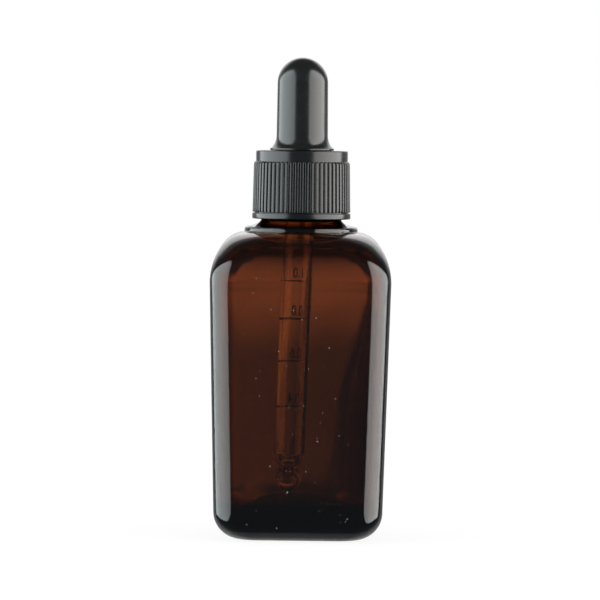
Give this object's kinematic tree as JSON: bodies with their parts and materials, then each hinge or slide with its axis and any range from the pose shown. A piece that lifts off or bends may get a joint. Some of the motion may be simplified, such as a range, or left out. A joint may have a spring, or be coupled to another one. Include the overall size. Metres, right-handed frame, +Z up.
{
  "type": "dropper bottle",
  "caption": "Tapered square amber glass bottle with a ribbed black screw cap, a rubber dropper bulb and a clear glass pipette with a ball tip.",
  "frame": {"origin": "middle of the base, on the surface the bottle stands on", "axes": "+Z up along the bottle's axis; the front face looks along -Y"},
  "size_m": [0.0418, 0.0418, 0.1116],
  "materials": {
    "amber_glass": "clear amber, polished",
    "black_plastic": "satin, ribbed",
    "black_rubber": "smooth, semi-gloss",
    "clear_glass": "clear, printed scale marks"
  },
  "bodies": {
    "bottle": {"glass_bottle": "amber_glass"},
    "dropper": {"rubber_bulb": "black_rubber", "glass_pipette": "clear_glass"},
    "cap": {"screw_cap": "black_plastic"}
  },
  "joints": [
    {"name": "closure_rise", "type": "slide", "parent": "bottle", "child": "dropper", "axis": [0, 0, 1], "range_m": [0, 0.00476]},
    {"name": "cap_turn", "type": "hinge", "parent": "dropper", "child": "cap", "pos_m": [0, 0, 0.0893], "axis": [0, 0, 1], "range_deg": [0, 540]}
  ],
  "couplings": [
    {"joint": "closure_rise", "follows": "cap_turn", "m_per_rad": 0.00050532}
  ]
}
